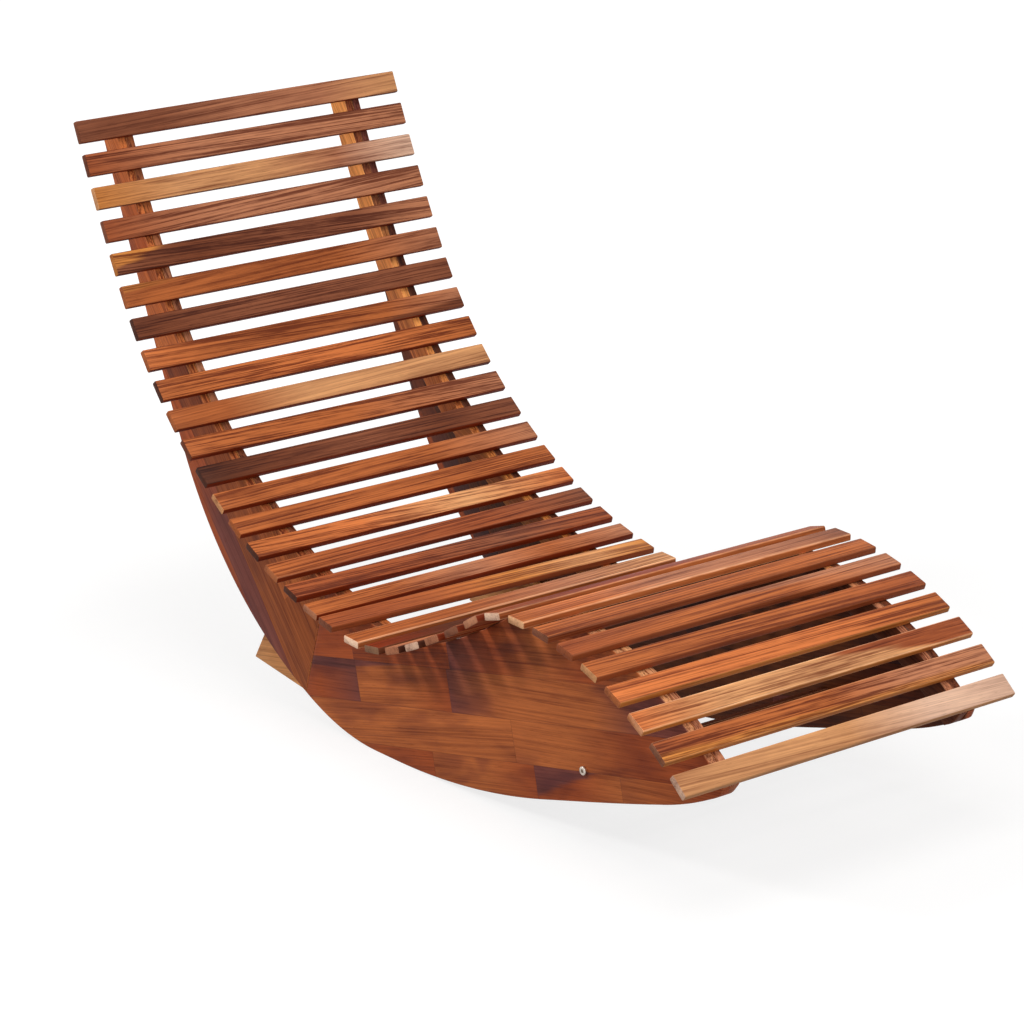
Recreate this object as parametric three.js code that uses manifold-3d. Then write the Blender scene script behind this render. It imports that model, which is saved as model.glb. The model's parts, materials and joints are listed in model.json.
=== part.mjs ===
// A rocking chaise lounge of hardwood slats on two built-up sides.
// Millimetres, +X towards the foot end, +Y towards the sitter's left, +Z up.
import * as THREE from "three";
import { mergeVertices } from "three/addons/utils/BufferGeometryUtils.js";
import Module from "manifold-3d";

const wasm = await Module();
wasm.setup();

// Slats
const slatCount = 35;
const slatLength = 600;
const slatWidth = 35;
const slatThickness = 11;
const slatEdgeRadius = 2;
const slatPitch = 53;

// One slat was fixed askew: its right end leans towards the slat above it.
const skewedSlat = 19;
const skewGapShare = 0.74;

// Sides: an outer layer of cut panels and an inner layer that holds the rails and the stop boards.
const slatOverhang = 71;
const panelThickness = 14;
const railThickness = 14;
const panelHeadDepth = 41;
const railDepth = 41;
const headCornerRadius = 10;
const tipCornerRadius = 10;

// The seat line carries the slats' undersides, from the middle of slat 1 to the middle of the last.
// It is a chain of arcs whose lengths are shares of its own length. A heading or a turn is in degrees,
// and a turn is positive where the line curls up.
const seatHeadHeading = -67.5;
const seatArcs = [
  { runShare: 0.1456, turn: 4.7 },
  { runShare: 0.3992, turn: 53.9 },
  { runShare: 0.079, turn: 30.9 },
  { runShare: 0.118, turn: 10.5 },
  { runShare: 0.0438, turn: -33.3 },
  { runShare: 0.2144, turn: -41.1 },
];

// The lower edge of the panels runs from the head down to the flat that the lounge rests on, and on
// to the tip of the leg rest. Its arcs are shares of the seat line's length. The rear arcs end level,
// so their turns add up to the edge's heading at the head.
const rearEdgeArcs = [
  { runShare: 0.284, turn: 4.8 },
  { runShare: 0.2746, turn: 43.7 },
  { runShare: 0.0832, turn: 21.4 },
];
const restFlatLength = 50;
const frontEdgeArcs = [
  { runShare: 0.2034, turn: 15.5 },
  { runShare: 0.1399, turn: 0 },
  { runShare: 0.074, turn: 13 },
];
const tipCornerTurn = 38;

// Places along the seat line, as shares of its length
const seamRunShare = 0.467;
const railJointRunShares = [0.3075, 0.5425, 0.778];

// Stop boards bridge the seam of the panels on the inside. Their lower rear corner meets the floor
// when the lounge rocks back.
const boardRearLength = 156;
const boardFrontLength = 139;
const boardHeight = 92;
const boardDrop = 9;
const boardHeading = -7.3;
const boardRearAngle = 65;

// Front spreader bar with a bolt and a barrel nut at each end
const spreaderHeight = 28;
const spreaderDepth = 24;
const spreaderRunShare = 0.853;
const spreaderInset = 51;
const boltHeadRadius = 6.5;
const boltHeadHeight = 4;
const boltCrownHeight = 1;
const boltSocketRadius = 2.5;
const boltSocketDepth = 2.5;
const boltShankRadius = 4;
const boltLength = 42;
const nutRadius = 6;
const nutLength = 22;
const nutFromEnd = 18;

// Countersunk wood screws hold the stop boards, driven from the inside
const screwLength = 22;
const screwHeadRadius = 4;
const screwShankRadius = 2;
const screwTipLength = 3;
const screwHeadRecess = 0.5;
const boardScrewShares = [
  { reachShare: -0.35, heightShare: 0.74 },
  { reachShare: 0.37, heightShare: 0.7 },
  { reachShare: 0.77, heightShare: 0.4 },
];

// Clearances
const seatGap = 0.3;
const layerGap = 0.3;
const jointGap = 0.3;
const boreClearance = 0.3;
const cutOverrun = 5;

// Fineness of the facets
const edgeStep = 27;
const cornerSteps = 3;
const slatEdgeSteps = 2;
const boltSides = 20;
const screwSides = 8;

// Length of the seat line, and the places of the layers, measured from the middle plane
const seatRun = (slatCount - 1) * slatPitch;
const panelOuter = slatLength / 2 - slatOverhang;
const panelInner = panelOuter - panelThickness;
const railOuter = panelInner - layerGap;
const railInner = railOuter - railThickness;
const spreaderEnd = panelInner - jointGap;
const sides = [-1, 1];
const sideNames = { [-1]: "right", 1: "left" };

function direction(heading) {
  return new THREE.Vector2(Math.cos(heading), Math.sin(heading));
}

function moved(point, heading, distance) {
  return point.clone().addScaledVector(direction(heading), distance);
}

// Walks a chain of arcs and returns its corner points, both ends included.
function walkArcs(start, startHeading, arcs) {
  const points = [start.clone()];
  let point = start;
  let heading = startHeading;
  for (const arc of arcs) {
    const turn = THREE.MathUtils.degToRad(arc.turn) / arc.steps;
    const stepLength = arc.length / arc.steps;
    const chord = turn === 0 ? stepLength : (stepLength / turn) * 2 * Math.sin(turn / 2);
    for (let i = 0; i < arc.steps; i += 1) {
      point = moved(point, heading + turn / 2, chord);
      heading += turn;
      points.push(point);
    }
  }
  return points;
}

function longArcs(arcs) {
  return arcs.map((arc) => {
    const length = arc.runShare * seatRun;
    const steps = arc.turn === 0 ? 1 : Math.max(1, Math.round(length / edgeStep));
    return { length, turn: arc.turn, steps };
  });
}

function roundedCorner(radius, turn) {
  return { length: radius * THREE.MathUtils.degToRad(turn), turn, steps: cornerSteps };
}

// The point of the smooth seat line at a distance from slat 1. The line is straight beyond its ends.
function seatLinePoint(distance) {
  let point = new THREE.Vector2(0, 0);
  let heading = THREE.MathUtils.degToRad(seatHeadHeading);
  let left = distance;
  for (const arc of seatArcs) {
    const length = arc.runShare * seatRun;
    const part = Math.min(left, length);
    if (part > 0) {
      const turn = THREE.MathUtils.degToRad(arc.turn) * (part / length);
      point = moved(point, heading + turn / 2, (part / turn) * 2 * Math.sin(turn / 2));
      heading += turn;
      left -= part;
    }
  }
  return moved(point, heading, left);
}

// A station counts slats along the seat line: station 7 is the middle of slat 7.
function stationAt(runShare) {
  return 1 + runShare * (slatCount - 1);
}

// The top edge of the sides has one flat facet under each slat. Slat n lies on the facet that runs
// from corner n - 1 to corner n.
const facetCorners = [];
for (let corner = 0; corner <= slatCount; corner += 1) {
  facetCorners.push(seatLinePoint((corner - 0.5) * slatPitch));
}

function facetAt(station) {
  const slat = THREE.MathUtils.clamp(Math.round(station), 1, slatCount);
  const start = facetCorners[slat - 1];
  const along = facetCorners[slat].clone().sub(start);
  const heading = Math.atan2(along.y, along.x);
  return { start, heading, length: along.length(), share: station - slat + 0.5 };
}

function topPoint(station) {
  const facet = facetAt(station);
  return moved(facet.start, facet.heading, facet.share * facet.length);
}

function downHeading(station) {
  return facetAt(station).heading - Math.PI / 2;
}

const slatHalfStation = slatWidth / 2 / slatPitch;
const headStation = 1 - slatHalfStation;
const tipStation = slatCount + slatHalfStation;

// Lower edge of the panels, from the head to the tip
function makeLowerEdge() {
  const down = downHeading(headStation);
  const rearTurn = rearEdgeArcs.reduce((sum, arc) => sum + arc.turn, 0);
  const cornerTurn = THREE.MathUtils.euclideanModulo(-rearTurn - THREE.MathUtils.radToDeg(down), 360);
  const start = moved(topPoint(headStation), down, panelHeadDepth - headCornerRadius);
  return walkArcs(start, down, [
    roundedCorner(headCornerRadius, cornerTurn),
    ...longArcs(rearEdgeArcs),
    { length: restFlatLength, turn: 0, steps: 1 },
    ...longArcs(frontEdgeArcs),
    roundedCorner(tipCornerRadius, tipCornerTurn),
  ]);
}

const lowerEdge = makeLowerEdge();

// Where a line from a point meets the lower edge: the distance to it and the number of the edge's
// corner just before it.
function meetLowerEdge(point, heading) {
  const ray = direction(heading);
  let nearest = { distance: Infinity, corner: 0 };
  for (let corner = 0; corner < lowerEdge.length - 1; corner += 1) {
    const from = lowerEdge[corner].clone().sub(point);
    const along = lowerEdge[corner + 1].clone().sub(lowerEdge[corner]);
    const distance = from.cross(along) / ray.cross(along);
    const share = from.cross(ray) / ray.cross(along);
    if (share >= 0 && share <= 1 && distance > 0 && distance < nearest.distance) {
      nearest = { distance, corner };
    }
  }
  return nearest;
}

// Corners of the top edge between two stations, head side first
function topCorners(from, to) {
  return facetCorners.filter((point, corner) => corner + 0.5 > from && corner + 0.5 < to);
}

// Outline of the panel between two stations. A cut end is square to the seat line and goes down to
// the lower edge; the head and the tip follow the lower edge's own rounded corners.
function panelOutline(from, to) {
  const startCut = from > headStation ? meetLowerEdge(topPoint(from), downHeading(from)) : null;
  const endCut = to < tipStation ? meetLowerEdge(topPoint(to), downHeading(to)) : null;
  const firstCorner = startCut ? startCut.corner + 1 : 0;
  const lastCorner = endCut ? endCut.corner : lowerEdge.length - 1;
  const below = lowerEdge.slice(firstCorner, lastCorner + 1);
  if (startCut) {
    below.unshift(moved(topPoint(from), downHeading(from), startCut.distance));
  }
  if (endCut) {
    below.push(moved(topPoint(to), downHeading(to), endCut.distance));
  }
  return [topPoint(from), ...topCorners(from, to), topPoint(to), ...below.reverse()];
}

// Outline of a strip that keeps the rail's depth below the top edge between two stations
function railOutline(from, to) {
  const below = [moved(topPoint(from), downHeading(from), railDepth)];
  for (let corner = 1; corner < slatCount; corner += 1) {
    if (corner + 0.5 > from && corner + 0.5 < to) {
      const before = downHeading(corner);
      const bend = downHeading(corner + 1) - before;
      below.push(moved(facetCorners[corner], before + bend / 2, railDepth / Math.cos(bend / 2)));
    }
  }
  below.push(moved(topPoint(to), downHeading(to), railDepth));
  return [topPoint(from), ...topCorners(from, to), topPoint(to), ...below.reverse()];
}

// A board cut to an outline, standing on edge along X with its faces square to Y
function boardGeometry(outline, low, thickness) {
  const shape = new THREE.Shape(outline);
  const geometry = new THREE.ExtrudeGeometry(shape, { depth: thickness, bevelEnabled: false });
  geometry.rotateX(Math.PI / 2);
  geometry.translate(0, low + thickness, 0);
  return geometry;
}

// A turned piece along Y. Its profile is a list of [radius, reach] from end to end, and its reach is
// counted outwards, towards the side that it belongs to.
function turnedGeometry(profile, facets, side) {
  const points = profile.map(([radius, reach]) => new THREE.Vector2(radius, reach));
  const geometry = new THREE.LatheGeometry(points, facets);
  if (side < 0) {
    geometry.rotateZ(Math.PI);
  }
  return geometry;
}

function placed(geometry, x, y, z) {
  geometry.translate(x, y, z);
  return geometry;
}

// Drops triangles that have shrunk to a line, as a turned piece has on its axis.
function weldedGeometry(geometry) {
  const bare = geometry.clone();
  bare.deleteAttribute("normal");
  bare.deleteAttribute("uv");
  const welded = mergeVertices(bare);
  const index = [];
  for (let i = 0; i < welded.index.count; i += 3) {
    const corners = [welded.index.getX(i), welded.index.getX(i + 1), welded.index.getX(i + 2)];
    if (new Set(corners).size === 3) {
      index.push(...corners);
    }
  }
  welded.setIndex(index);
  return welded;
}

function toSolid(geometry) {
  const welded = weldedGeometry(geometry);
  return new wasm.Manifold(new wasm.Mesh({
    numProp: 3,
    vertProperties: new Float32Array(welded.attributes.position.array),
    triVerts: new Uint32Array(welded.index.array),
  }));
}

function toGeometry(solid) {
  const mesh = solid.getMesh();
  const geometry = new THREE.BufferGeometry();
  geometry.setAttribute("position", new THREE.BufferAttribute(mesh.vertProperties, 3));
  geometry.setIndex(new THREE.BufferAttribute(mesh.triVerts, 1));
  geometry.computeVertexNormals();
  return geometry;
}

// The geometry less each cutter
function cutGeometry(geometry, cutters) {
  let solid = toSolid(geometry);
  for (const cutter of cutters) {
    solid = solid.subtract(toSolid(cutter));
  }
  return toGeometry(solid);
}

// A rail is the strip where it stays inside the outline of the whole side, which is less deep at the
// tip and rounded at the head.
function railGeometry(from, to, low) {
  const strip = boardGeometry(railOutline(from, to), low, railThickness);
  const wholeSide = panelOutline(headStation, tipStation);
  const limit = boardGeometry(wholeSide, low - cutOverrun, railThickness + 2 * cutOverrun);
  return toGeometry(toSolid(strip).intersect(toSolid(limit)));
}

// Screws and their holes. Their reach is counted from the inner face of the rail layer.
const screwConeEnd = screwHeadRecess + screwHeadRadius - screwShankRadius;
const screwProfile = [
  [0, screwHeadRecess],
  [screwHeadRadius, screwHeadRecess],
  [screwShankRadius, screwConeEnd],
  [screwShankRadius, screwLength - screwTipLength],
  [0, screwLength],
];
const screwHoleProfile = [
  [0, -cutOverrun],
  [screwHeadRadius + boreClearance, -cutOverrun],
  [screwHeadRadius + boreClearance, screwHeadRecess],
  [screwShankRadius + boreClearance, screwConeEnd],
  [screwShankRadius + boreClearance, screwLength + boreClearance],
  [0, screwLength + boreClearance],
];

// The stop board's lower edge crosses the line of the seam a little below the panels. Places on the
// board are counted along that edge from the crossing, and up from the edge.
const seamStation = stationAt(seamRunShare);
const seamLine = { top: topPoint(seamStation), down: downHeading(seamStation) };
const seamLength = meetLowerEdge(seamLine.top, seamLine.down).distance;
const boardCrossing = moved(seamLine.top, seamLine.down, seamLength + boardDrop);

function boardPoint(along, up) {
  const heading = THREE.MathUtils.degToRad(boardHeading);
  return moved(moved(boardCrossing, heading, along), heading + Math.PI / 2, up);
}

function boardOutline() {
  const rearSlope = boardHeight / Math.tan(THREE.MathUtils.degToRad(boardRearAngle));
  return [
    boardPoint(-boardRearLength, 0),
    boardPoint(boardFrontLength, 0),
    boardPoint(boardFrontLength, boardHeight),
    boardPoint(rearSlope - boardRearLength, boardHeight),
  ];
}

function boardScrewPoints() {
  return boardScrewShares.map(({ reachShare, heightShare }) => {
    const along = reachShare * (reachShare < 0 ? boardRearLength : boardFrontLength);
    return boardPoint(along, heightShare * boardHeight);
  });
}

function atBoardScrews(profile, side) {
  return boardScrewPoints().map((point) => {
    return placed(turnedGeometry(profile, screwSides, side), point.x, side * railInner, point.y);
  });
}

// Spreader: its axis lies a named distance above the lower edge and its section follows that edge.
function spreaderPlace() {
  const station = stationAt(spreaderRunShare);
  const top = topPoint(station);
  const down = downHeading(station);
  const meeting = meetLowerEdge(top, down);
  const along = lowerEdge[meeting.corner + 1].clone().sub(lowerEdge[meeting.corner]);
  return {
    axis: moved(top, down, meeting.distance - spreaderInset),
    heading: Math.atan2(along.y, along.x),
  };
}

const spreader = spreaderPlace();

function spreaderOutline() {
  const corner = (along, up) => {
    const side = moved(spreader.axis, spreader.heading, along * spreaderDepth);
    return moved(side, spreader.heading + Math.PI / 2, up * spreaderHeight);
  };
  return [corner(-0.5, -0.5), corner(0.5, -0.5), corner(0.5, 0.5), corner(-0.5, 0.5)];
}

// Bolts and nuts. A bolt's reach is counted outwards from the panel's outer face.
const boltProfile = [
  [0, -boltLength],
  [boltShankRadius, -boltLength],
  [boltShankRadius, jointGap],
  [boltHeadRadius, jointGap],
  [boltHeadRadius, boltHeadHeight - boltCrownHeight],
  [boltHeadRadius - boltCrownHeight, boltHeadHeight],
  [boltSocketRadius, boltHeadHeight],
  [boltSocketRadius, boltHeadHeight - boltSocketDepth],
  [0, boltHeadHeight - boltSocketDepth],
];
const boltHoleProfile = [
  [0, -boltLength - boreClearance],
  [boltShankRadius + boreClearance, -boltLength - boreClearance],
  [boltShankRadius + boreClearance, cutOverrun],
  [0, cutOverrun],
];

function atBolt(profile, side) {
  const geometry = turnedGeometry(profile, boltSides, side);
  return placed(geometry, spreader.axis.x, side * panelOuter, spreader.axis.y);
}

function barrelGeometry(radius, length, side) {
  const geometry = new THREE.CylinderGeometry(radius, radius, length, boltSides);
  geometry.rotateX(Math.PI / 2);
  geometry.rotateY(-spreader.heading);
  return placed(geometry, spreader.axis.x, side * (spreaderEnd - nutFromEnd), spreader.axis.y);
}

function barrelNutGeometry(side) {
  const nut = barrelGeometry(nutRadius, nutLength, side);
  return cutGeometry(nut, [atBolt(boltHoleProfile, side)]);
}

function spreaderGeometry() {
  const bar = boardGeometry(spreaderOutline(), -spreaderEnd, 2 * spreaderEnd);
  const cutters = sides.flatMap((side) => [
    atBolt(boltHoleProfile, side),
    barrelGeometry(nutRadius + boreClearance, spreaderHeight + 2 * cutOverrun, side),
  ]);
  return cutGeometry(bar, cutters);
}

// Slat: a bar with rounded long edges, centred on its own middle
function slatGeometry() {
  const outline = [];
  for (const [acrossSign, upSign, startAngle] of [[1, 1, 0], [-1, 1, 90], [-1, -1, 180], [1, -1, 270]]) {
    for (let step = 0; step <= slatEdgeSteps; step += 1) {
      const angle = THREE.MathUtils.degToRad(startAngle + (90 * step) / slatEdgeSteps);
      const across = acrossSign * (slatWidth / 2 - slatEdgeRadius);
      const up = upSign * (slatThickness / 2 - slatEdgeRadius);
      outline.push(moved(new THREE.Vector2(across, up), angle, slatEdgeRadius));
    }
  }
  return boardGeometry(outline, -slatLength / 2, slatLength);
}

// Leans a slat about its left end, so that its right end moves towards the slat above it.
function leaned(geometry) {
  const lean = skewGapShare * (slatPitch - slatWidth);
  const angle = Math.asin(lean / slatLength);
  geometry.rotateZ(-angle);
  geometry.translate(-lean / 2, 0, 0);
  return geometry;
}

// Finishes: oiled hardwood in several tones, and plated steel
const woodTones = {
  tan: 0xc08654,
  rose: 0xb98168,
  honey: 0xb0703f,
  orange: 0xa85c33,
  russet: 0x93492f,
  brown: 0x7f4a33,
  dark: 0x643627,
  umber: 0x4c2c20,
};
const slatTones = [
  "brown", "russet", "tan", "brown", "dark", "russet", "umber",
  "orange", "orange", "tan", "brown", "umber", "orange", "honey",
  "orange", "brown", "dark", "rose", "honey", "orange", "brown",
  "brown", "honey", "brown", "brown", "tan", "rose", "russet",
  "orange", "rose", "russet", "orange", "honey", "brown", "tan",
];

function wood(tone) {
  return new THREE.MeshStandardMaterial({ color: woodTones[tone], roughness: 0.45, metalness: 0 });
}

function steel() {
  return new THREE.MeshStandardMaterial({ color: 0xc9b8a4, roughness: 0.3, metalness: 1 });
}

const lounge = new THREE.Group();

function addPiece(name, geometry, material) {
  const piece = new THREE.Mesh(geometry, material);
  piece.name = name;
  lounge.add(piece);
  return piece;
}

function addSlats() {
  for (let slat = 1; slat <= slatCount; slat += 1) {
    const facet = facetAt(slat);
    const rise = seatGap + slatThickness / 2;
    const middle = moved(topPoint(slat), facet.heading + Math.PI / 2, rise);
    const geometry = slat === skewedSlat ? leaned(slatGeometry()) : slatGeometry();
    const name = `slat_${String(slat).padStart(2, "0")}`;
    const piece = addPiece(name, geometry, wood(slatTones[(slat - 1) % slatTones.length]));
    piece.position.set(middle.x, 0, middle.y);
    piece.rotation.y = -facet.heading;
  }
}

// The stations where a side's pieces start and end, with half of the joint's gap off each cut end
function lengthsBetween(joints) {
  const halfGap = jointGap / 2 / slatPitch;
  const starts = [headStation, ...joints.map((joint) => joint + halfGap)];
  const ends = [...joints.map((joint) => joint - halfGap), tipStation];
  return starts.map((start, i) => [start, ends[i]]);
}

const railLengths = lengthsBetween(railJointRunShares.map(stationAt));
const railNames = ["upper_back_rail", "lower_back_rail", "seat_rail", "leg_rail"];
const panelLengths = lengthsBetween([seamStation]);
const panelNames = ["rear_panel", "front_panel"];

function addSide(side) {
  const sideName = sideNames[side];
  const panelLow = side < 0 ? -panelOuter : panelInner;
  const railLow = side < 0 ? -railOuter : railInner;
  const screwHoles = atBoardScrews(screwHoleProfile, side);
  const panelCutters = [...screwHoles, atBolt(boltHoleProfile, side)];
  panelLengths.forEach(([from, to], i) => {
    const panel = boardGeometry(panelOutline(from, to), panelLow, panelThickness);
    addPiece(`${panelNames[i]}_${sideName}`, cutGeometry(panel, panelCutters), wood("orange"));
  });
  railLengths.forEach(([from, to], i) => {
    addPiece(`${railNames[i]}_${sideName}`, railGeometry(from, to, railLow), wood("brown"));
  });
  const board = boardGeometry(boardOutline(), railLow, railThickness);
  addPiece(`stop_board_${sideName}`, cutGeometry(board, screwHoles), wood("honey"));
  atBoardScrews(screwProfile, side).forEach((screw, i) => {
    addPiece(`stop_board_screw_${sideName}_${i + 1}`, screw, steel());
  });
  addPiece(`spreader_bolt_${sideName}`, atBolt(boltProfile, side), steel());
  addPiece(`spreader_barrel_nut_${sideName}`, barrelNutGeometry(side), steel());
}

addSlats();
sides.forEach(addSide);
addPiece("front_spreader", spreaderGeometry(), wood("brown"));

// Stands the lounge on the floor with its origin below the middle of its length.
const bounds = new THREE.Box3().setFromObject(lounge, true);
lounge.position.set(-(bounds.min.x + bounds.max.x) / 2, 0, -bounds.min.z);

export default lounge;
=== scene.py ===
"""Looks of a rocking chaise lounge: planed slats on glued side panels, in oiled hardwood."""
import json
import math
import random

import bmesh
import bpy
from mathutils import Euler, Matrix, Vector


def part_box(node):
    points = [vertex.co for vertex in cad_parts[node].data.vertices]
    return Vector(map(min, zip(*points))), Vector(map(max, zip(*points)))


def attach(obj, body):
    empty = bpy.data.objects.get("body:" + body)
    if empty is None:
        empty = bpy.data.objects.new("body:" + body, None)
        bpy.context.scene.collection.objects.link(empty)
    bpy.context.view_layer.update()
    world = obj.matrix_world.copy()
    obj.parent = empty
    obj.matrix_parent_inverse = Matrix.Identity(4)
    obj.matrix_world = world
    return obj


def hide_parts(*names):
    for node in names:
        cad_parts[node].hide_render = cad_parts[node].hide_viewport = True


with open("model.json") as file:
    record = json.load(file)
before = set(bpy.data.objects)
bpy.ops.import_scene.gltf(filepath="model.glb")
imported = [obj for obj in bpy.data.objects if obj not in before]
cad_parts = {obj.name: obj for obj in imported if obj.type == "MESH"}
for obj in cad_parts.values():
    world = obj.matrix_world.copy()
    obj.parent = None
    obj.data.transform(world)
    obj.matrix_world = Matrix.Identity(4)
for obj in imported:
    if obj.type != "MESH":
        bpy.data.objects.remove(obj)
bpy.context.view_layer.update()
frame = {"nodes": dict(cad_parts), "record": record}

MM = 0.001
ALONG_X = Vector((1, 0, 0))
ALONG_Y = Vector((0, 1, 0))

# Camera
CAMERA_PLACE = (4.2418, -3.2507, 2.0243)
CAMERA_TURN = (72.477, 0.946, 52.2898)
CAMERA_LENS = 132.98
CAMERA_SENSOR = 36.0
CAMERA_REACH = 100

# Stage and light
FLOOR_SIZE = 40.0
FLOOR_COLOUR = (0.25, 0.245, 0.24)
FLOOR_GLOW = 0.79
FLOOR_GLOW_AWAY = 1.0
FLOOR_FADE = (0.9, 2.2)
FLOOR_ROUGHNESS = 0.9
WORLD_LIGHT = 0.30
SEEN_RAYS = ("Is Camera Ray", "Is Glossy Ray", "Is Transmission Ray")
KEY_LIGHT = {"place": (-2.6, -3.4, 3.2), "size": 1.1, "power": 104}
TOP_LIGHT = {"place": (0.9, -0.4, 4.2), "size": 3.0, "power": 76}
FRONT_LIGHT = {"place": (4.6, -1.2, 3.0), "size": 2.4, "power": 81}
LIGHT_AIM = (0.0, 0.0, 0.35)

# Tones of the wood, as sRGB
TONES = {
    "cream": "dcb096",
    "amber": "f09c54",
    "tan": "ce9060",
    "rose": "b07050",
    "honey": "c07638",
    "flame": "c26a38",
    "orange": "a85a2e",
    "ember": "aa5028",
    "russet": "944a28",
    "brown": "804830",
    "plum": "7c4036",
    "dark": "6a3620",
    "umber": "4c2414",
    "wine": "7a2a0d",
    "grey": "8a6248",
}

# Slats: tones from the sitter's right end to the left, a second tone with the side of the slat that
# it lies on and the place of its border at both ends (shares of the half width), how strong the
# figure is, the tones of the end grain and of the front edge, and how pale (or dark, below 0) the
# arrises are. Dark front edges and dark arrises are painted shade; pale arrises are rubbing with a
# painted highlight, strongest on slats 20, 27, 28 and 33.
SLAT_LOOKS = [
    ("brown brown rose rose tan", None, 0.5, "brown", "wine", -0.2),
    ("russet rose rose rose", None, 1.0, "dark", "wine", -0.4),
    ("honey tan tan rose cream", None, 0.5, "tan", "brown", 0.2),
    ("russet rose rose rose", None, 0.9, "brown", "wine", -0.3),
    ("brown dark brown brown rose", ("honey", -1, 0.4, -8.0), 1.3, "honey", "wine", -0.3),
    ("orange orange orange rose", ("honey", -1, -0.5, -3.0), 0.6, "orange", "wine", 0.1),
    ("dark brown brown brown", None, 1.0, "umber", "wine", -0.4),
    ("flame orange orange orange rose", ("dark", 1, 2.5, 0.1), 0.8, "orange", "wine", 0.1),
    ("orange flame orange", None, 1.3, "umber", "wine", -0.3),
    ("orange orange tan tan tan tan", None, 0.4, "orange", "wine", 0.1),
    ("orange orange rose", None, 1.1, "dark", "wine", -0.1),
    ("umber dark brown dark brown", None, 0.9, "umber", "wine", -0.3),
    ("orange orange orange rose", None, 0.7, "tan", "wine", 0.0),
    ("orange orange orange", None, 0.8, "orange", "wine", 0.0),
    ("orange flame tan flame", None, 1.0, "umber", "wine", 0.0),
    ("orange russet russet brown", None, 0.9, "orange", "wine", 0.3),
    ("russet russet brown russet", None, 1.3, "umber", "wine", 0.0),
    ("orange orange rose orange rose", None, 0.7, "rose", "wine", 0.0),
    ("russet russet orange honey tan honey", None, 0.8, "brown", "russet", -0.2),
    ("orange orange rose tan", None, 0.6, "cream", "orange", 3.0),
    ("wine umber wine umber wine", None, 0.6, "grey", "dark", 0.0),
    ("rose flame flame orange", None, 0.6, "rose", "umber", 0.0),
    ("russet russet orange brown", None, 0.7, "cream", "umber", 0.0),
    ("brown flame flame orange", None, 0.6, "rose", "wine", 0.0),
    ("orange flame orange ember", None, 0.7, "brown", "wine", 0.2),
    ("russet wine russet wine russet", None, 0.8, "rose", "wine", 0.4),
    ("russet wine wine russet russet", None, 0.8, "cream", "orange", 1.0),
    ("orange flame rose rose rose brown", None, 0.6, "tan", "flame", 1.6),
    ("orange orange orange", None, 0.8, "brown", "russet", 0.2),
    ("russet orange orange rose", ("rose", -1, -2.0, 0.4), 0.6, "russet", "russet", 0.1),
    ("orange orange orange russet", None, 0.8, "tan", "russet", 0.1),
    ("flame flame flame orange", None, 0.8, "orange", "honey", 0.2),
    ("flame tan tan tan tan", ("russet", -1, -4.4, 1.6), 0.6, "orange", "honey", 1.5),
    ("russet orange orange rose rose", ("honey", 1, 0.15, 0.8), 1.1, "brown", "honey", 0.4),
    ("tan tan tan cream cream", None, 0.3, "cream", "tan", 0.1),
]
SLAT_ROUNDING = 2.5 * MM
LEAST_ROUNDING = 0.25
SLAT_END_ROUNDING = 0.9 * MM
SLAT_END_STEPS = 2
SLAT_CUTS = 12

# How far a face's normal has to lie in a direction to count as an end or an edge of a slat, as a
# flat face of a side or as its top, and as the end of a slat's CAD node
END_FACING = 0.8
EDGE_FACING = 0.75
FLAT_FACING = 0.5
TOP_FACING = 0.2
CAD_END_FACING = 0.9
CAD_END_SLOPE = 0.1

# Staves of the glued panels, in metres along and across the grain. Each row is its lower border,
# counted across, and a list of (end of stave, tones along it, figure). A second tone may follow,
# with its side and the place of its border at both ends, in BORDER_UNIT from the stave's middle.
BORDER_UNIT = 0.02
FRONT_STAVE_ANGLE = 11.9
FRONT_STAVE_ORIGIN = (0.0, 0.0865)
FRONT_STAVES = [
    (0.127, [(0.16, "ember ember plum", 0.35), (0.9, "plum ember flame ember", 0.35)]),
    (0.064, [(-0.09, "ember ember", 0.3), (0.155, "ember ember", 0.35),
             (0.9, "plum ember flame ember flame plum", 0.35)]),
    # The plum strips along the top of this row's first two staves are a stain with painted shade.
    (0.0, [(-0.088, "ember ember ember ember ember plum", 0.3, ("plum", 1, 0.7, 0.7)),
           (0.145, "flame flame ember", 0.3, ("plum", 1, 0.9, 2.2)),
           (0.9, "plum flame flame flame plum plum", 0.35)]),
    (-0.063, [(0.285, "ember flame flame flame flame", 0.3),
              (0.9, "flame flame ember ember", 0.3)]),
    (-0.126, [(0.08, "flame ember", 0.35), (0.325, "flame flame ember", 0.3),
              (0.52, "ember ember flame", 0.35, ("plum", 1, -0.5, 2.4)),
              (0.9, "flame ember", 0.3)]),
    (-0.3, [(0.33, "ember flame", 0.35), (0.9, "flame flame", 0.35)]),
]
REAR_STAVE_ANGLE = -52.0
REAR_STAVE_ORIGIN = (-0.42, 0.22)
REAR_STAVES = [
    (0.085, [(-0.2, "flame ember russet russet", 0.35), (0.12, "russet flame flame", 0.35),
             (0.9, "flame ember", 0.35)]),
    (0.027, [(-0.31, "ember flame", 0.35),
             (0.9, "flame flame flame flame", 0.35, ("honey", 1, 0.7, 0.7))]),
    (-0.040, [(-0.16, "ember ember", 0.35),
              (0.9, "ember plum plum plum russet ember ember ember ember", 0.3,
               ("ember", -1, -0.5, -0.5))]),
    (-0.3, [(0.2, "ember ember", 0.35), (0.9, "ember ember", 0.35)]),
]
# The ends of the rows as far as the tones reach, the strength of the dark patches, and the painted
# shade of the inner faces, which darkens them for the shadow inside the chair
STAVE_REACH = (-0.6, 0.7)
STAVE_PATCHES = 1.0
INNER_PAINTED_SHADE = 0.35
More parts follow.
